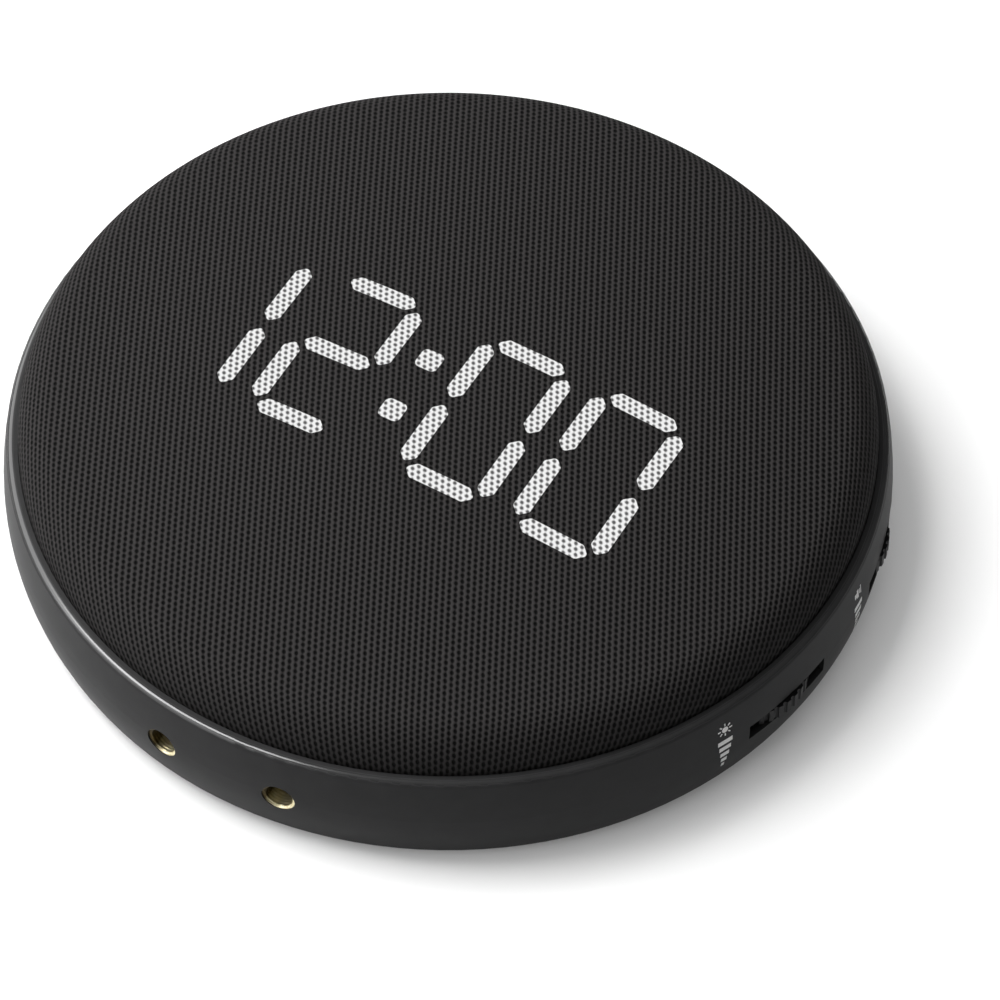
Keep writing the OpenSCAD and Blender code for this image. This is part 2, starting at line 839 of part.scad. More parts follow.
module motor_end_cap() {
    color("#e0dcd0") motor_frame() difference() {
        cylinder(h = 1.5, r = motor_r - 0.4);
        translate([0, 0, 0.8]) cylinder(h = past, r = motor_shaft_r + run_gap);
    }
}

module motor_shaft() {
    color("#c8c8cc") motor_frame() translate([0, 0, 1])
        cylinder(h = motor_l + shaft_out - 1, r = motor_shaft_r);
}

// A half disc of dense metal pressed on the shaft
module eccentric_weight() {
    hub_r = motor_shaft_r + 1.4;
    color("#8a8478") motor_frame() translate([0, 0, motor_l + 2]) difference() {
        union() {
            cylinder(h = weight_l, r = hub_r);
            intersection() {
                cylinder(h = weight_l, r = weight_r);
                translate([0, -weight_r, 0]) cube([weight_r, 2 * weight_r, weight_l]);
            }
        }
        translate([0, 0, -past]) cylinder(h = weight_l + 2 * past, r = motor_shaft_r);
    }
}

strap_mid = motor_x + motor_l / 2;
strap_screw_y = motor_r + strap_t + strap_foot / 2;

// A bent metal strap over the can, screwed down on both sides
module motor_strap() {
    r_in = motor_r + run_gap;
    r_out = r_in + strap_t;
    color("#9a9a9e") translate([strap_mid - strap_w / 2, motor_y, motor_z]) difference() {
        union() {
            rotate([0, 90, 0]) cylinder(h = strap_w, r = r_out);
            translate([0, -r_out, strap_z - motor_z]) cube([strap_w, 2 * r_out, motor_z - strap_z]);
            translate([0, -r_out - strap_foot, strap_z - motor_z])
                cube([strap_w, 2 * (r_out + strap_foot), strap_t]);
        }
        translate([-past, 0, 0]) rotate([0, 90, 0]) cylinder(h = strap_w + 2 * past, r = r_in);
        translate([-past, -r_in, -r_out - past]) cube([strap_w + 2 * past, 2 * r_in, r_out + past]);
        for (side = [-1, 1]) {
            translate([strap_w / 2, side * strap_screw_y, strap_z - motor_z - past])
                cylinder(h = strap_t + 2 * past, r = clear_r);
        }
    }
}

module strap_screws() {
    color("#b8b8bc") for (side = [-1, 1]) {
        translate([strap_mid, motor_y + side * strap_screw_y, strap_z + strap_t + small_head_h])
            mirror([0, 0, 1]) screw(small_head_r, small_head_h, pilot_r, strap_t + strap_bite);
    }
}

wire_r = 0.5;
// Solder height that keeps a slanted wire end off its pad
wire_lift = 0.4;

module motor_leads() {
    x = motor_x - wire_lift;
    for (side = [-1, 1]) {
        color(side < 0 ? "#a02020" : "#202020") wire([
            [x, motor_y, motor_z + side * 2],
            [x - 2, motor_y + 3, motor_z + side * 2],
            [x + side * 1.5, board_front + 2, board_top + 3],
            [x + side * 1.5, board_front + 3, board_top + wire_lift]], wire_r);
    }
}

module speaker_leads() {
    z = cover_top + flange_h + cone_h + 1;
    x0 = speaker_x + magnet_r * 0.6;
    for (side = [-1, 1]) {
        color(side < 0 ? "#a02020" : "#202020") wire([
            [x0, speaker_y + side * 2, z + magnet_h + wire_lift],
            [x0 + 2, speaker_y + side * 2, z + magnet_h + 2],
            [speaker_x + speaker_r + 2.5, speaker_y + side * 2, board_top + 3],
            [speaker_x + speaker_r + 3.5, speaker_y + side * 2, board_top + wire_lift]], wire_r);
    }
}

// Rear cover

// Grille holes in rings of six more each time
module grille() {
    rings = floor((speaker_r - 4) / grille_step);
    for (k = [0 : rings]) {
        n = max(1, 6 * k);
        for (i = [0 : n - 1]) {
            at(360 / n * i, k * grille_step) cylinder(h = cover_t + 2 * past, r = grille_r, $fn = 24);
        }
    }
}

module button_place(i) { at(button_last - button_step * (3 - i), button_ring) children(); }

module cell_frame() { translate([cell_x, cell_y, 0]) children(); }

// The cell's well: a round wall with a roof and three ribs that centre the cell
module cell_well() {
    cell_frame() translate([0, 0, cover_top]) difference() {
        translate([0, 0, -bed]) cylinder(h = well_top - cover_top + well_t + bed, r = well_r + well_t);
        translate([0, 0, -past - bed]) cylinder(h = well_top - cover_top + past + bed, r = well_r);
    }
    cell_frame() for (a = [20, 140, 260]) {
        rotate([0, 0, a]) translate([cell_r + slide_gap, -0.6, cell_bot + 0.2])
            cube([well_r + well_t / 2 - cell_r - slide_gap, 1.2, well_top - cell_bot]);
    }
}

module cell_opening() {
    cell_frame() {
        translate([0, 0, base_z - past]) cylinder(h = past + door_t + 0.2, r = door_r + 0.3);
        translate([0, 0, base_z - past]) cylinder(h = cover_t + 2 * past, r = door_neck_r + 0.3);
        for (a = [0, 180]) {
            intersection() {
                rotate([0, 0, a + 75]) translate([0, 0, base_z - past])
                    cylinder(h = cover_t + 2 * past, r = lug_r + 0.2);
                rotate([0, 0, a + 75]) translate([0, -lug_r * sin(lug_turn / 2) - 0.5, base_z - past])
                    cube([2 * lug_r, 2 * lug_r * sin(lug_turn / 2) + 1, cover_t + 3 * past]);
            }
        }
    }
}

// Two cradle ribs that carry the motor, and the posts for its strap
module motor_cradle() {
    rib_t = 2;
    difference() {
        union() {
            for (x = [2.5, motor_l - 2.5 - rib_t]) {
                translate([motor_x + x, motor_y - motor_r, cover_top - bed])
                    cube([rib_t, 2 * motor_r, motor_h - 1 + bed]);
            }
        }
        translate([motor_x - past, motor_y, motor_z]) rotate([0, 90, 0])
            cylinder(h = motor_l + 2 * past, r = motor_r + run_gap);
    }
    for (side = [-1, 1]) {
        translate([strap_mid, motor_y + side * strap_screw_y, cover_top - bed])
            tube(boss_r - 0.4, pilot_r, strap_z - cover_top + bed);
    }
}

module rear_cover() {
    slot_half = slider_l / 2 + slider_travel + slide_gap;
    color("#303032") difference() {
        union() {
            translate([0, 0, base_z]) cylinder(h = cover_t, r = cover_r_out, $fn = 128);
            for (a = screw_at) {
                at(a, screw_ring) translate([0, 0, cover_top - bed])
                    cylinder(h = screw_pad_h + bed, r = boss_r + 0.6);
            }
            speaker_frame() translate([0, 0, -bed])
                tube(speaker_r + speaker_ring_t + run_gap, speaker_r + run_gap, flange_h + bed);
            cell_well();
            motor_cradle();
        }
        for (a = screw_at) {
            at(a, screw_ring) translate([0, 0, base_z - past]) {
                cylinder(h = past + screw_sink, r = screw_head_r + slide_gap);
                cylinder(h = past + cover_t + screw_pad_h + past, r = 1.3);
            }
        }
        for (a = foot_at) {
            at(a, foot_ring) translate([0, 0, base_z - past])
                cylinder(h = past + foot_sink, r = foot_r + run_gap);
        }
        for (i = [0 : 3]) {
            button_place(i) translate([0, 0, base_z - past])
                cylinder(h = cover_t + 2 * past, r = button_r + slide_gap);
        }
        speaker_frame() translate([0, 0, -cover_t - past]) grille();
        translate([slider_x - slot_half, slider_y - slider_w / 2 - slide_gap, base_z - past])
            cube([2 * slot_half, slider_w + 2 * slide_gap, cover_t + 2 * past]);
        cell_opening();
    }
}

module cover_screws() {
    color("#55555a") for (a = screw_at) {
        at(a, screw_ring) translate([0, 0, base_z + screw_sink - screw_head_h])
            screw(screw_head_r, screw_head_h, pilot_r, cover_t + screw_pad_h - screw_sink + 5);
    }
}

// Rubber feet glued in their recesses, rounded off at the rim
module rear_feet() {
    edge = 0.3;
    color("#141414") for (a = foot_at) {
        at(a, foot_ring) {
            cylinder(h = edge, r1 = foot_r - edge, r2 = foot_r);
            translate([0, 0, edge]) cylinder(h = foot_h + foot_sink - edge, r = foot_r);
        }
    }
}

// Set buttons: a cap through the cover, a flange behind it and a nub that presses the switch
module set_button(i) {
    color("#29292b") button_place(i) {
        translate([0, 0, base_z + button_sink]) difference() {
            cylinder(h = cover_t + rest_gap + flange_t - button_sink, r = button_r);
            translate([0, 0, -past]) cylinder(h = past + 0.25, r1 = button_r - 0.4, r2 = button_r - 1);
        }
        translate([0, 0, flange_bot]) cylinder(h = flange_t, r = button_r + button_flange);
        translate([0, 0, flange_bot]) cylinder(h = nub_top - flange_bot, r = 1.2);
    }
}

module hour_button() { set_button(0); }
module minute_button() { set_button(1); }
module time_button() { set_button(2); }
module alarm_button() { set_button(3); }

module tact_switches() {
    plunger = board_bot - tact_h - nub_top - button_travel - 0.1;
    color("#3c3c40") for (i = [0 : 3]) {
        button_place(i) {
            translate([-tact_w / 2, -tact_w / 2, board_bot - tact_h]) cube([tact_w, tact_w, tact_h]);
            translate([0, 0, board_bot - tact_h - plunger]) cylinder(h = plunger + tact_h / 2, r = 1.3);
        }
    }
}

// Mode slider: off, sound, or sound and vibration
module mode_switch() {
    top = flange_bot + flange_t + 0.2;
    color("#8a8a90") translate([slider_x - 5, slider_y - 2.6, top]) cube([10, 5.2, board_bot - top]);
}

module mode_knob() {
    groove_w = 0.5;
    color("#b8b8ba") translate([slider_x, slider_y, 0]) {
        translate([-slider_l / 2, -slider_w / 2, base_z + button_sink]) difference() {
            cube([slider_l, slider_w, cover_t + rest_gap + flange_t - button_sink]);
            for (x = [-1, 0, 1]) {
                translate([slider_l / 2 + x * slider_l / 4 - groove_w / 2, -past, -past])
                    cube([groove_w, slider_w + 2 * past, past + 0.35]);
            }
        }
        translate([-slider_l / 2 - slider_travel - 0.6, -slider_w / 2 - 1, flange_bot])
            cube([slider_l + 2 * slider_travel + 1.2, slider_w + 2, flange_t]);
    }
}

// Round cell door, turned with a coin: its two lugs catch behind the rear cover
module battery_door() {
    color("#29292b") cell_frame() difference() {
        union() {
            translate([0, 0, base_z + 0.1]) cylinder(h = door_t, r = door_r);
            translate([0, 0, base_z + 0.1]) cylinder(h = cell_bot - base_z - 0.1 - run_gap, r = door_neck_r);
            intersection() {
                translate([0, 0, cover_top + rest_gap]) cylinder(h = lug_t, r = lug_r);
                translate([-lug_r, -lug_r * sin(lug_turn / 2), cover_top])
                    cube([2 * lug_r, 2 * lug_r * sin(lug_turn / 2), 2 * lug_t]);
            }
        }
        translate([-cell_r * 0.6, -0.9, base_z - past]) cube([cell_r * 1.2, 1.8, past + 1]);
    }
}

module coin_cell() {
    color("#d0d0d4") cell_frame() translate([0, 0, cell_bot]) {
        cylinder(h = cell_h * 0.8, r = cell_r);
        cylinder(h = cell_h, r = cell_r * 0.86);
    }
}

// A sprung leaf between the well's roof and the cell
module cell_spring() {
    z = cell_bot + cell_h;
    color("#c8b070") cell_frame() translate([0, 0, z]) {
        translate([-cell_r * 0.6, -1.5, spring_h - 0.3]) cube([cell_r * 1.2, 3, 0.3]);
        translate([-1, -1.5, 0.05]) cube([2, 3, spring_h - 0.1]);
    }
}

// A leaf that bears on the cell's edge
module cell_clip() {
    color("#c8b070") cell_frame() rotate([0, 0, 200])
        translate([cell_r + 0.1, -2.5, cell_bot + 0.3]) cube([0.3, 5, cell_h * 0.7]);
}

rim_shell();
dome_panel();
fabric_cover();
display_housing();
lit_guides();
dark_guides();
segment_leds();
display_board();
display_screws();
board_header();
main_board();
board_chips();
board_screws();
dimmer_pot();
dimmer_shaft();
dimmer_wheel();
dimmer_screw();
volume_pot();
volume_shaft();
volume_wheel();
volume_screw();
left_insert();
right_insert();
power_inlet();
inlet_pin();
speaker_basket();
speaker_cone();
speaker_magnet();
motor_can();
motor_end_cap();
motor_shaft();
eccentric_weight();
motor_strap();
strap_screws();
motor_leads();
speaker_leads();
rear_cover();
cover_screws();
rear_feet();
hour_button();
minute_button();
time_button();
alarm_button();
tact_switches();
mode_switch();
mode_knob();
battery_door();
coin_cell();
cell_spring();
cell_clip();
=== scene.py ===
import math

import bpy
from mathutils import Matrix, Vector


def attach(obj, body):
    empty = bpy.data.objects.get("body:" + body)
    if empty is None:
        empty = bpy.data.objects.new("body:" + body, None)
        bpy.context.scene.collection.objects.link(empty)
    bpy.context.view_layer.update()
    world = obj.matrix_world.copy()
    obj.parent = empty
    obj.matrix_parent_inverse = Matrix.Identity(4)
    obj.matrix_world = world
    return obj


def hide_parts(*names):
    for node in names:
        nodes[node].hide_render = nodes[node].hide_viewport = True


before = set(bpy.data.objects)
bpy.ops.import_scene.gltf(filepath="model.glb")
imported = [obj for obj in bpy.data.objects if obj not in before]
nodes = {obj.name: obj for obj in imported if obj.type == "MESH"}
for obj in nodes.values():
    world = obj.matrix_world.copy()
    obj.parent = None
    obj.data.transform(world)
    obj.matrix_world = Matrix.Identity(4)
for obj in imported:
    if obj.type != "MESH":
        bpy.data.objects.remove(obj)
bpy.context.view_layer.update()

# Camera
# A long lens looks down on the clock from its front right, at the photograph's angle.
# The clock lies a little left of the middle of the frame, which the lens shift gives.
mm = 0.001
view_turn = math.radians(30.24)
view_rise = math.radians(51.36)
view_distance = 1000 * mm
rim_foot = Vector((0, 0, 0.6 * mm))
sensor_width = 36
lens_length = 242.6
shift_right = 0.0517
shift_up = 0.0031
towards_camera = Vector((
    math.sin(view_turn) * math.cos(view_rise),
    -math.cos(view_turn) * math.cos(view_rise),
    math.sin(view_rise)))
bpy.ops.object.camera_add(
    location=rim_foot + view_distance * towards_camera,
    rotation=(math.pi / 2 - view_rise, 0, view_turn))
camera = bpy.context.object
camera.data.sensor_width = sensor_width
camera.data.lens = lens_length
camera.data.shift_x = shift_right
camera.data.shift_y = shift_up
bpy.context.scene.camera = camera
bpy.context.scene.view_settings.view_transform = "Standard"

# Floor
# A plain white table top, which takes the clock's shadow. A little light of its own, seen only by the lens
# and in reflections, brings the open floor up to white. It throws less light back on the clock.
floor_size = 8
floor_drop = 0.02
floor_white = 0.76
floor_bounce = 0.5
floor_lift = 0.14


def add_node(tree, kind, **settings):
    node = tree.nodes.new(kind)
    for name, value in settings.items():
        setattr(node, name, value)
    return node


def feed(tree, socket, value):
    if isinstance(value, bpy.types.NodeSocket):
        tree.links.new(value, socket)
    else:
        socket.default_value = value


def calculate(tree, operation, first, second=0.0, third=0.0):
    node = add_node(tree, "ShaderNodeMath", operation=operation)
    for socket, value in zip(node.inputs, (first, second, third)):
        feed(tree, socket, value)
    return node.outputs[0]


def seen_directly(tree):
    path = add_node(tree, "ShaderNodeLightPath").outputs
    mirrored = calculate(tree, "MAXIMUM", path["Is Glossy Ray"], path["Is Transmission Ray"])
    return calculate(tree, "MAXIMUM", path["Is Camera Ray"], mirrored)


bpy.ops.object.select_all(action="DESELECT")
bpy.ops.mesh.primitive_plane_add(size=floor_size, location=(0, 0, -floor_drop * mm))
floor = bpy.context.object
floor.name = "floor"
table_top = bpy.data.materials.new("table_top")
table_top.use_nodes = True
tree = table_top.node_tree
tree.nodes.clear()
direct = seen_directly(tree)
matt = add_node(tree, "ShaderNodeBsdfDiffuse")
feed(tree, matt.inputs["Color"],
     calculate(tree, "MULTIPLY_ADD", direct, floor_white - floor_bounce, floor_bounce))
glow = add_node(tree, "ShaderNodeEmission")
feed(tree, glow.inputs["Strength"], calculate(tree, "MULTIPLY", direct, floor_lift))
both = add_node(tree, "ShaderNodeAddShader")
feed(tree, both.inputs[0], matt.outputs[0])
feed(tree, both.inputs[1], glow.outputs[0])
feed(tree, add_node(tree, "ShaderNodeOutputMaterial").inputs["Surface"], both.outputs[0])
floor.data.materials.append(table_top)

# Studio light
# A key box at the left draws the line along the rim's lip. Two large boxes, at the front left and the back left,
# light the wall and the knit. One overhead, kept out of reflections, fills in, and the room itself is dim.
room_level = 0.03
photo_right = Vector((math.cos(view_turn), math.sin(view_turn), 0))
photo_back = Vector((-math.sin(view_turn), math.cos(view_turn), 0))
room = bpy.data.worlds.new("room")
room.use_nodes = True
bpy.context.scene.world = room
room.node_tree.nodes["Background"].inputs["Color"].default_value = (1, 1, 1, 1)
room.node_tree.nodes["Background"].inputs["Strength"].default_value = room_level


def soft_box(name, right, back, rise, length, width, power, mirrored=True):
    place = right * photo_right + back * photo_back + Vector((0, 0, rise))
    bpy.ops.object.light_add(type="AREA", location=place, rotation=place.to_track_quat("Z", "Y").to_euler())
    lamp = bpy.context.object
    lamp.name = name
    lamp.data.shape = "RECTANGLE"
    lamp.data.size = length
    lamp.data.size_y = width
    lamp.data.energy = power
    lamp.visible_glossy = mirrored


soft_box("key_box", right=-0.5, back=0.12, rise=1.05, length=0.5, width=0.55, power=9)
soft_box("front_box", right=-0.95, back=-0.35, rise=0.7, length=1.2, width=1.0, power=7)
soft_box("back_box", right=-0.8, back=0.5, rise=0.75, length=1.2, width=1.0, power=12.5)
soft_box("top_box", right=0, back=0.1, rise=1.4, length=1.4, width=1.4, power=10, mirrored=False)

# Rear cover, cell door and set buttons
# Black textured mouldings: the cover is screwed up into the rim, the door turns with a coin,
# and the buttons stand in holes in the cover.
cover_black = (0.03, 0.03, 0.032)
mottle_grains = 20


def start_material(name, roughness, gloss=0.5, metallic=0.0):
    material = bpy.data.materials.new(name)
    material.use_nodes = True
    surface = material.node_tree.nodes["Principled BSDF"]
    surface.inputs["Roughness"].default_value = roughness
    surface.inputs["Specular IOR Level"].default_value = gloss
    surface.inputs["Metallic"].default_value = metallic
    return material, material.node_tree, surface


def object_place(tree):
    return add_node(tree, "ShaderNodeTexCoord").outputs["Object"]


def noise(tree, grain, detail=2.0, stretch=(1, 1, 1)):
    stretched = add_node(tree, "ShaderNodeMapping")
    stretched.inputs["Scale"].default_value = stretch
    feed(tree, stretched.inputs["Vector"], object_place(tree))
    texture = add_node(tree, "ShaderNodeTexNoise")
    texture.inputs["Scale"].default_value = 1 / (grain * mm)
    texture.inputs["Detail"].default_value = detail
    feed(tree, texture.inputs["Vector"], stretched.outputs[0])
    return texture.outputs["Fac"]


def shade_range(tree, surface, driver, low, high, spread=(0.3, 0.7), target="Base Color"):
    ramp = add_node(tree, "ShaderNodeValToRGB")
    for stop, place, colour in zip(ramp.color_ramp.elements, spread, (low, high)):
        stop.position = place
        stop.color = (*colour, 1)
    feed(tree, ramp.inputs["Fac"], driver)
    feed(tree, surface.inputs[target], ramp.outputs["Color"])
    return ramp.outputs["Color"]


def raise_bump(tree, surface, height, depth, strength=1.0):
    bump = add_node(tree, "ShaderNodeBump")
    bump.inputs["Strength"].default_value = strength
    bump.inputs["Distance"].default_value = depth * mm
    feed(tree, bump.inputs["Height"], height)
    feed(tree, surface.inputs["Normal"], bump.outputs["Normal"])


def moulding(name, colour, roughness, grain=0.25, depth=0.01, uneven=0.12, gloss=0.5):
    material, tree, surface = start_material(name, roughness, gloss)
    low = [c * (1 - uneven) for c in colour]
    high = [c * (1 + uneven) for c in colour]
    shade_range(tree, surface, noise(tree, mottle_grains * grain), low, high)
    raise_bump(tree, surface, noise(tree, grain), depth)
    return material


def dress(material, *names):
    for name in names:
        nodes[name].material_slots[0].material = material


dress(moulding("cover_moulding", cover_black, roughness=0.55, grain=0.35, depth=0.03),
      "rear_cover", "battery_door", "hour_button", "minute_button", "time_button", "alarm_button")

# Mode slider and motor end cap
# Pale mouldings: a knob with three finger grooves, which slides in the rear cover, and the motor's cap.
dress(moulding("slider_moulding", (0.5, 0.49, 0.46), roughness=0.5), "mode_knob", "motor_end_cap")

# Cover screws and loudspeaker magnet
# Blackened steel: screws sunk in the rear cover, and the pressed cup of the magnet.
dress(moulding("black_steel", (0.06, 0.06, 0.063), roughness=0.35, grain=0.15, depth=0.004),
      "cover_screws", "speaker_magnet")

# Feet
# Soft black rubber discs glued into recesses of the rear cover.
dress(moulding("foot_rubber", (0.02, 0.02, 0.02), roughness=0.85, grain=0.2, depth=0.02), "rear_feet")

# Steel pieces
# Plated steel screws, shafts, straps, the motor can, the backup cell and the loudspeaker's basket,
# with the fine lengthwise scratches of drawn and rolled metal.
steel, tree, surface = start_material("plated_steel", roughness=0.32, metallic=1.0)
scratches = noise(tree, grain=0.4, detail=4, stretch=(0.1, 1, 1))
shade_range(tree, surface, scratches, (0.5, 0.5, 0.51), (0.68, 0.68, 0.69))
raise_bump(tree, surface, scratches, depth=0.004)
dress(steel, "display_screws", "board_screws", "dimmer_shaft", "dimmer_screw", "volume_shaft", "volume_screw",
      "inlet_pin", "motor_can", "motor_shaft", "motor_strap", "strap_screws", "coin_cell", "speaker_basket")

# Vibration weight
# A sintered half disc of heavy metal pressed on the motor's shaft.
weight, tree, surface = start_material("sintered_metal", roughness=0.5, metallic=1.0)
shade_range(tree, surface, noise(tree, grain=0.3, detail=4), (0.2, 0.19, 0.18), (0.34, 0.33, 0.31))
raise_bump(tree, surface, noise(tree, grain=0.2), depth=0.02)
dress(weight, "eccentric_weight")

# Loudspeaker cone
# Pressed black paper with a fibrous face.
dress(moulding("pressed_paper", (0.028, 0.026, 0.024), roughness=0.9, grain=0.5, depth=0.05, uneven=0.3),
      "speaker_cone")

# Leads
# Insulated wires from the main board to the motor and the loudspeaker.
dress(moulding("wire_jacket", (0.25, 0.02, 0.02), roughness=0.45, grain=0.3, depth=0.005),
      "motor_leads", "speaker_leads")

# Boards and the parts on them
# Green solder mask over copper tracks, with black moulded components soldered on.
track_tile = 14
track_length = 1.3
track_pitch = 0.07
track_width = 0.012
track_height = 0.03
mask_greens = {"Color1": (0.012, 0.085, 0.03), "Color2": (0.014, 0.095, 0.034), "Mortar": (0.022, 0.13, 0.048)}
board, tree, surface = start_material("solder_mask", roughness=0.3)
tracks = add_node(tree, "ShaderNodeTexBrick")
tracks.inputs["Scale"].default_value = 1 / (track_tile * mm)
tracks.inputs["Brick Width"].default_value = track_length
tracks.inputs["Row Height"].default_value = track_pitch
tracks.inputs["Mortar Size"].default_value = track_width
for socket, colour in mask_greens.items():
    tracks.inputs[socket].default_value = (*colour, 1)
feed(tree, tracks.inputs["Vector"], object_place(tree))
feed(tree, surface.inputs["Base Color"], tracks.outputs["Color"])
raise_bump(tree, surface, tracks.outputs["Fac"], track_height)
dress(board, "display_board", "main_board")
dress(moulding("component_black", (0.025, 0.025, 0.027), roughness=0.45, grain=0.2),
      "board_chips", "tact_switches", "mode_switch")

# Display housing, connector, potentiometers, inlet and dome panel
# Plain black mouldings inside the case, which keep stray light in.
dress(moulding("inner_moulding", (0.016, 0.016, 0.017), roughness=0.6),
      "display_housing", "dome_panel", "board_header", "dimmer_pot", "volume_pot", "power_inlet")

# Light guides and light chips
# Milky diffusers in the housing's pockets, over one small light chip for each bar.
dress(moulding("milky_guide", (0.85, 0.85, 0.83), roughness=0.35), "lit_guides", "dark_guides")
dress(moulding("light_chip", (0.85, 0.8, 0.5), roughness=0.3), "segment_leds")

# Rim
# One charcoal moulding with a fine satin texture, bowed out and drawn in towards the table.
# Its upper edge is polished and truly round, so it catches the light as a thin line.
rim_charcoal = (0.0305, 0.0305, 0.031)
satin = 0.45
polish = 0.16
satin_gloss = 0.06
polish_gloss = 0.68
lip_middle = 63.775
lip_height = 16.9
lip_from = 17.05
lip_full = 17.25
shine_from = 17.4
shine_full = 17.65
round_from = -0.2
round_full = 0.1


def calculate_vector(tree, operation, first, second=(0, 0, 0), scale=1.0):
    node = add_node(tree, "ShaderNodeVectorMath", operation=operation)
    feed(tree, node.inputs[0], first)
    if operation == "SCALE":
        feed(tree, node.inputs["Scale"], scale)
    elif operation != "LENGTH":
        feed(tree, node.inputs[1], second)
    return node.outputs["Value" if operation in ("LENGTH", "DOT_PRODUCT") else "Vector"]


def from_axis(tree, place):
    flat = calculate_vector(tree, "MULTIPLY", place, (1, 1, 0))
    axes = add_node(tree, "ShaderNodeSeparateXYZ")
    feed(tree, axes.inputs[0], place)
    return flat, calculate_vector(tree, "LENGTH", flat), axes.outputs


def blend(tree, share, low, high, kind="FLOAT"):
    mix = add_node(tree, "ShaderNodeMix", data_type=kind)
    feed(tree, mix.inputs[0], share)
    first, result = {"FLOAT": (2, 0), "VECTOR": (4, 1), "RGBA": (6, 2)}[kind]
    feed(tree, mix.inputs[first], low)
    feed(tree, mix.inputs[first + 1], high)
    return mix.outputs[result]


def rise_between(tree, value, low, high):
    step = add_node(tree, "ShaderNodeMapRange")
    step.inputs["From Min"].default_value = low
    step.inputs["From Max"].default_value = high
    feed(tree, step.inputs["Value"], value)
    return step.outputs["Result"]


charcoal = moulding("rim_moulding", rim_charcoal, satin, grain=0.16, depth=0.006, uneven=0.06)
tree = charcoal.node_tree
surface = tree.nodes["Principled BSDF"]
flat, reach, axes = from_axis(tree, object_place(tree))
past_middle = calculate(tree, "SUBTRACT", reach, lip_middle * mm)
share = calculate(tree, "DIVIDE", calculate(tree, "MAXIMUM", past_middle, 0.0), reach)
outward = calculate_vector(tree, "SCALE", flat, scale=share)
upward = add_node(tree, "ShaderNodeCombineXYZ")
feed(tree, upward.inputs["Z"], calculate(tree, "SUBTRACT", axes["Z"], lip_height * mm))
lip_normal = add_node(tree, "ShaderNodeVectorTransform", vector_type="NORMAL")
feed(tree, lip_normal.inputs[0], calculate_vector(tree, "ADD", outward, upward.outputs[0]))
on_lip = rise_between(tree, axes["Z"], lip_from * mm, lip_full * mm)
shining = rise_between(tree, axes["Z"], shine_from * mm, shine_full * mm)
on_round = calculate(tree, "MULTIPLY", shining,
                     rise_between(tree, past_middle, round_from * mm, round_full * mm))
textured = surface.inputs["Normal"].links[0].from_socket
feed(tree, surface.inputs["Normal"], blend(tree, on_lip, textured, lip_normal.outputs[0], "VECTOR"))
feed(tree, surface.inputs["Roughness"], blend(tree, on_round, satin, polish))
feed(tree, surface.inputs["Specular IOR Level"], blend(tree, on_round, satin_gloss, polish_gloss))
dress(charcoal, "rim_shell")

# Thumbwheels
# Black mouldings with a notched grip, which stand a little out of slots in the rim.
dress(moulding("wheel_moulding", (0.006, 0.006, 0.0063), roughness=0.5, grain=0.2, gloss=0.2),
      "dimmer_wheel", "volume_wheel")

# Cell spring and cell clip
# Pressed brass strips, which touch the backup cell from above and from the side.
spring_brass, tree, surface = start_material("spring_brass", roughness=0.3, metallic=1.0)
shade_range(tree, surface, noise(tree, grain=0.8, detail=4), (0.72, 0.6, 0.3), (0.88, 0.78, 0.48))
dress(spring_brass, "cell_spring", "cell_clip")

# Brass inserts
# Turned brass tubes pressed into the rim, which line the stand's sockets. Their bores keep the rings of the
# turning tool: both axes point at the clock's middle, so the distance from it counts the rings.
# Shade is painted on the bores: their upper side, towards minus X, is painted dark brown, and their lower side,
# towards plus X, keeps the bright brass as if lit.
ring_pitch = 0.5
ring_depth = 0.12
# The dark brown below is painted shade. The slant and the range further down set where it gives way to bright
# brass, in millimetres.
painted_shade_brown = (0.06, 0.045, 0.02)
insert_across = 9.2
insert_height = 9.5
painted_shade_slant = 0.5
painted_shade_from = -1.0
painted_shade_to = 0.9
brass, tree, surface = start_material("turned_brass", roughness=0.42, metallic=1.0)
tint = shade_range(tree, surface, noise(tree, grain=0.8, detail=4), (0.84, 0.74, 0.44), (0.97, 0.9, 0.64))
flat, reach, axes = from_axis(tree, object_place(tree))
grooves = calculate(tree, "PINGPONG", calculate(tree, "MULTIPLY", reach, 1 / (ring_pitch * mm)), 0.5)
raise_bump(tree, surface, grooves, ring_depth)
# Painted shade: the bore's colour runs from dark brown on its upper, minus-X side to bright brass on its lower,
# plus-X side.
middle = calculate(tree, "MULTIPLY", calculate(tree, "SIGN", axes["X"]), insert_across * mm)
across = calculate(tree, "SUBTRACT", axes["X"], middle)
below = calculate(tree, "SUBTRACT", insert_height * mm, axes["Z"])
slanted = calculate(tree, "MULTIPLY_ADD", below, painted_shade_slant, across)
painted_lit_share = rise_between(tree, slanted, painted_shade_from * mm, painted_shade_to * mm)
feed(tree, surface.inputs["Base Color"], blend(tree, painted_lit_share, (*painted_shade_brown, 1), tint, "RGBA"))
dress(brass, "left_insert", "right_insert")

# Printed marks
# White ink on the rim beside each thumbwheel: a small sun or loudspeaker over a scale of bars.
# Each mark is laid on the wall, follows it, and is a few hundredths of a millimetre thick.
mark_top = 15.4
mark_foot = 4.9
mark_width = 2.6
mark_turns = {"dimmer_mark": -22.66, "volume_mark": 5.34}
ink_thickness = 0.03
wall_radius = 65.4
grid_steps = 6
disc_sides = 24
sun_radius = 0.55
sun_rays = 8
ray_reach = 1.02
ray_size = (0.5, 0.22)
speaker_bars = ((-0.75, 0.6, 0.9), (-0.1, 0.5, 1.7), (0.55, 0.2, 1.0), (1.0, 0.2, 1.7))
scale_bars = 5
scale_gap = 0.6
scale_fill = 0.6


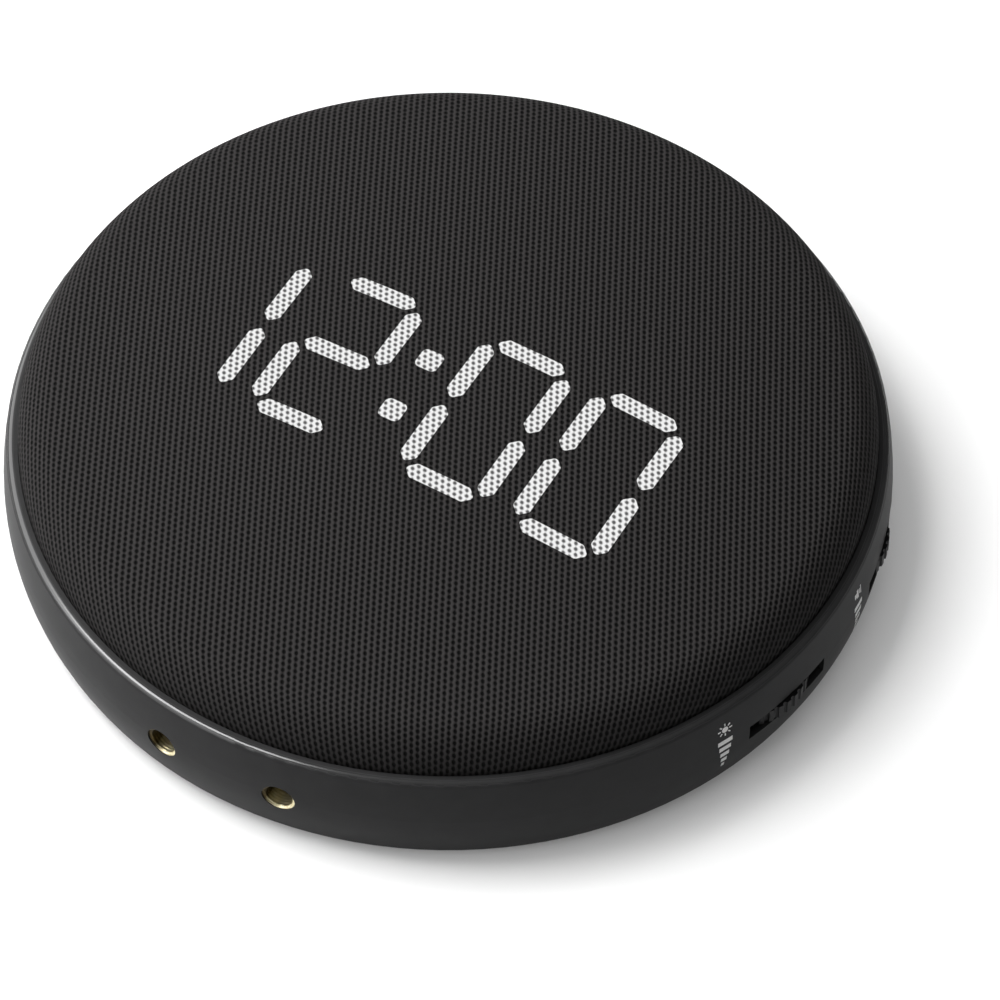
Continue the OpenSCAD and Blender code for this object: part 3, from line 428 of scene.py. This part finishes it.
def lay(piece, turn, across, up):
    direction = math.radians(turn)
    out = Vector((math.cos(direction), math.sin(direction), 0))
    right = Vector((-math.sin(direction), math.cos(direction), 0))
    piece.rotation_euler = (math.pi / 2, 0, direction + math.pi / 2)
    piece.location = (wall_radius * out + across * right + Vector((0, 0, up))) * mm
    bpy.ops.object.transform_apply(location=True, rotation=True, scale=True)
    return piece


def ink_bar(turn, across, up, width, height, lean=0.0):
    bpy.ops.object.select_all(action="DESELECT")
    bpy.ops.mesh.primitive_grid_add(x_subdivisions=grid_steps, y_subdivisions=grid_steps, size=mm)
    piece = bpy.context.object
    piece.scale = (width, height, 1)
    bpy.ops.object.transform_apply(location=False, rotation=False, scale=True)
    piece.rotation_euler = (0, 0, lean)
    bpy.ops.object.transform_apply(location=False, rotation=True, scale=False)
    return lay(piece, turn, across, up)


def ink_disc(turn, across, up, radius):
    bpy.ops.object.select_all(action="DESELECT")
    bpy.ops.mesh.primitive_circle_add(vertices=disc_sides, radius=radius * mm, fill_type="TRIFAN")
    return lay(bpy.context.object, turn, across, up)


def sun(turn, up):
    pieces = [ink_disc(turn, 0, up, sun_radius)]
    for i in range(sun_rays):
        a = 2 * math.pi * i / sun_rays
        pieces.append(ink_bar(turn, ray_reach * math.cos(a), up + ray_reach * math.sin(a), *ray_size, a))
    return pieces


def loudspeaker(turn, up):
    return [ink_bar(turn, across, up, width, height) for across, width, height in speaker_bars]


def bar_scale(turn):
    pitch = (mark_top - mark_width - scale_gap - mark_foot) / scale_bars
    return [ink_bar(turn, 0, mark_foot + pitch * (i + 0.5), mark_width * (i + 1) / scale_bars, scale_fill * pitch)
            for i in range(scale_bars)]


def join_pieces(pieces, name):
    bpy.ops.object.select_all(action="DESELECT")
    for piece in pieces:
        piece.select_set(True)
    bpy.context.view_layer.objects.active = pieces[0]
    bpy.ops.object.join()
    pieces[0].name = name
    return pieces[0]


def thicken(piece, name, thickness):
    body = piece.modifiers.new(name, "SOLIDIFY")
    body.thickness = thickness * mm
    body.offset = -1
    bpy.ops.object.modifier_apply(modifier=name)


ink, tree, surface = start_material("white_ink", roughness=0.5)
shade_range(tree, surface, noise(tree, grain=0.4), (0.86, 0.86, 0.85), (0.92, 0.92, 0.91))
for name, turn in mark_turns.items():
    sign = sun if name == "dimmer_mark" else loudspeaker
    mark = join_pieces(sign(turn, mark_top - mark_width / 2) + bar_scale(turn), name)
    onto_wall = mark.modifiers.new("onto_wall", "SHRINKWRAP")
    onto_wall.target = nodes["rim_shell"]
    onto_wall.wrap_mode = "ABOVE_SURFACE"
    onto_wall.offset = ink_thickness * mm
    bpy.ops.object.modifier_apply(modifier="onto_wall")
    thicken(mark, "ink_body", ink_thickness)
    mark.data.materials.append(ink)
    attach(mark, "clock")

# Knit cover
# A black speaker knit, stretched over the dome panel and tucked in behind the rim's lip.
# It stands upright out of the rim, turns over a shoulder and runs on as a shallow crown.
cloth_radius = 62.9
cloth_foot = 14.35
shoulder_height = 19.4
shoulder_radius = 6
crown_radius = 340
cloth_thickness = 0.5
cloth_sides = 192
shoulder_steps = 12
crown_steps = 16
shoulder_middle = cloth_radius - shoulder_radius
crown_turn = math.asin(shoulder_middle / (crown_radius - shoulder_radius))
crown_middle = shoulder_height - (crown_radius - shoulder_radius) * math.cos(crown_turn)
crown_top = crown_middle + crown_radius
crown_join = crown_middle + crown_radius * math.cos(crown_turn)
rings = [(cloth_radius, cloth_foot), (cloth_radius, shoulder_height)]
for i in range(1, shoulder_steps + 1):
    a = (math.pi / 2 - crown_turn) * i / shoulder_steps
    rings.append((shoulder_middle + shoulder_radius * math.cos(a),
                  shoulder_height + shoulder_radius * math.sin(a)))
for i in range(1, crown_steps):
    a = crown_turn * (1 - i / crown_steps)
    rings.append((crown_radius * math.sin(a), crown_middle + crown_radius * math.cos(a)))

bpy.ops.object.select_all(action="DESELECT")
bpy.ops.mesh.primitive_circle_add(
    vertices=cloth_sides, radius=cloth_radius * mm, location=(0, 0, cloth_foot * mm))
cloth = bpy.context.object
cloth.name = "knit_cover"
bpy.ops.object.mode_set(mode="EDIT")
for (r0, z0), (r1, z1) in zip(rings, rings[1:]):
    bpy.ops.mesh.extrude_region_move(TRANSFORM_OT_translate={"value": (0, 0, (z1 - z0) * mm)})
    bpy.ops.transform.resize(value=(r1 / r0, r1 / r0, 1))
bpy.ops.mesh.extrude_region_move(TRANSFORM_OT_translate={"value": (0, 0, (crown_top - rings[-1][1]) * mm)})
bpy.ops.mesh.merge(type="CENTER")
bpy.ops.mesh.select_all(action="SELECT")
bpy.ops.mesh.normals_make_consistent(inside=False)
bpy.ops.object.mode_set(mode="OBJECT")
bpy.ops.object.transform_apply(location=True, rotation=True, scale=True)
thicken(cloth, "yarn_body", cloth_thickness)
bpy.ops.object.shade_smooth()

# The knit's holes lie on a slanted lattice. Two waves give it, each with the turn of its direction in degrees
# and its pitch in millimetres, and their sum gives a third. Round the shoulder the lattice follows the cloth down.
stitch_waves = ((27.84, 0.882), (-96.86, 0.795))
third_wave = 0.85
deepest = -1.1
knit_yarn = (0.03, 0.0283, 0.0283)
knit_hole = (0.0015, 0.0015, 0.0015)
knit_spread = (0.12, 0.66)
knit_cross = 0.45
knit_relief = 0.25
relief_strength = 0.6
yarn_roughness = 0.85
yarn_gloss = 0.08
yarn_fuzz = 0.35
yarn_uneven = 0.35
shoulder_follow = 0.6


def stitch_pattern(tree, cross):
    flat, radius, axes = from_axis(tree, calculate_vector(tree, "SCALE", object_place(tree), scale=1 / mm))
    drop = calculate(tree, "MAXIMUM", calculate(tree, "SUBTRACT", crown_join, axes["Z"]), 0.0)
    extra = calculate(tree, "DIVIDE", calculate(tree, "MULTIPLY", drop, shoulder_follow), radius)
    followed = calculate_vector(tree, "SCALE", flat, scale=calculate(tree, "ADD", extra, 1.0))
    phases = []
    for turn, pitch in stitch_waves:
        turns = 2 * math.pi / pitch
        direction = math.radians(turn)
        wave = (turns * math.cos(direction), turns * math.sin(direction), 0)
        phases.append(calculate_vector(tree, "DOT_PRODUCT", followed, wave))
    phases.append(calculate(tree, "ADD", *phases))
    weights = (1.0, cross, third_wave * cross)
    total = 0.0
    for phase, weight in zip(phases, weights):
        total = calculate(tree, "MULTIPLY_ADD", calculate(tree, "COSINE", phase), weight, total)
    fuzz = calculate(tree, "MULTIPLY_ADD", noise(tree, yarn_fuzz), yarn_uneven, -yarn_uneven / 2)
    return calculate(tree, "ADD", rise_between(tree, total, deepest, sum(weights)), fuzz)


knit, tree, surface = start_material("black_knit", yarn_roughness, yarn_gloss)
stitches = stitch_pattern(tree, knit_cross)
shade_range(tree, surface, stitches, knit_yarn, knit_hole, knit_spread)
raise_bump(tree, surface, calculate(tree, "SUBTRACT", 1.0, stitches), knit_relief, relief_strength)
cloth.data.materials.append(knit)
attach(cloth, "clock")
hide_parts("fabric_cover")

# Lit digits
# Where a light guide stands behind the knit, the yarn over it glows white and its holes stay dark.
# Each patch covers one guide, a little wider and with rounder corners, because light spreads in the yarn.
bar_spread = 0.1
tip_flat = 0.25
tip_round = 0.22
dot_spread = 0.28
dot_round = 0.9
dot_ratio = 1.5
round_steps = 4
patch_cuts = 2
patch_lift = 0.06
patch_thickness = 0.05
lit_cross = 0.65
glow_white = (0.83, 0.83, 0.83)
glow_dark = (0.105, 0.105, 0.105)
glow_range = (0.14, 0.73)


def guide_boxes(guides):
    copy = bpy.data.objects.new("guide_copy", guides.data.copy())
    bpy.context.scene.collection.objects.link(copy)
    bpy.ops.object.select_all(action="DESELECT")
    copy.select_set(True)
    bpy.context.view_layer.objects.active = copy
    bpy.ops.object.mode_set(mode="EDIT")
    bpy.ops.mesh.select_all(action="SELECT")
    bpy.ops.mesh.remove_doubles(threshold=0.0001 * mm)
    bpy.ops.mesh.separate(type="LOOSE")
    bpy.ops.object.mode_set(mode="OBJECT")
    guide_pieces = bpy.context.selected_objects
    boxes = [(Vector(piece.bound_box[0]), Vector(piece.bound_box[6])) for piece in guide_pieces]
    bpy.ops.object.delete()
    return sorted(boxes, key=lambda box: tuple(box[0]))


def round_corners(offset, steps):
    bpy.ops.mesh.select_all(action="SELECT")
    bpy.ops.mesh.bevel(offset=offset, segments=steps, affect="VERTICES")


def glowing_patch(low, high):
    middle = (low + high) / 2
    size = (high - low).to_2d()
    across, along = (0, 1) if size.x < size.y else (1, 0)
    is_dot = size[along] < dot_ratio * size[across]
    size[across] += 2 * (dot_spread if is_dot else bar_spread) * mm
    if is_dot:
        size[along] += 2 * dot_spread * mm
    bpy.ops.object.select_all(action="DESELECT")
    bpy.ops.mesh.primitive_plane_add(size=1, location=(middle.x, middle.y, crown_top * mm))
    patch = bpy.context.object
    patch.scale = (size.x, size.y, 1)
    bpy.ops.object.transform_apply(location=True, rotation=True, scale=True)
    bpy.ops.object.mode_set(mode="EDIT")
    if not is_dot:
        round_corners(size[across] / 2 - tip_flat * mm, 1)
    round_corners((dot_round if is_dot else tip_round) * mm, round_steps)
    bpy.ops.mesh.select_all(action="SELECT")
    bpy.ops.mesh.quads_convert_to_tris()
    bpy.ops.mesh.subdivide(number_cuts=patch_cuts)
    bpy.ops.object.mode_set(mode="OBJECT")
    return patch


lit = join_pieces([glowing_patch(low, high) for low, high in guide_boxes(nodes["lit_guides"])], "lit_digits")
onto_knit = lit.modifiers.new("onto_knit", "SHRINKWRAP")
onto_knit.target = cloth
onto_knit.wrap_method = "PROJECT"
onto_knit.wrap_mode = "ABOVE_SURFACE"
onto_knit.use_project_z = True
onto_knit.use_positive_direction = False
onto_knit.use_negative_direction = True
onto_knit.offset = patch_lift * mm
bpy.ops.object.modifier_apply(modifier="onto_knit")
thicken(lit, "skin", patch_thickness)
lit_knit, tree, surface = start_material("lit_knit", yarn_roughness, yarn_gloss)
stitches = stitch_pattern(tree, lit_cross)
shade_range(tree, surface, stitches, knit_yarn, knit_hole, knit_spread)
shade_range(tree, surface, stitches, glow_white, glow_dark, glow_range, "Emission Color")
surface.inputs["Emission Strength"].default_value = 1.0
lit.data.materials.append(lit_knit)
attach(lit, "clock")
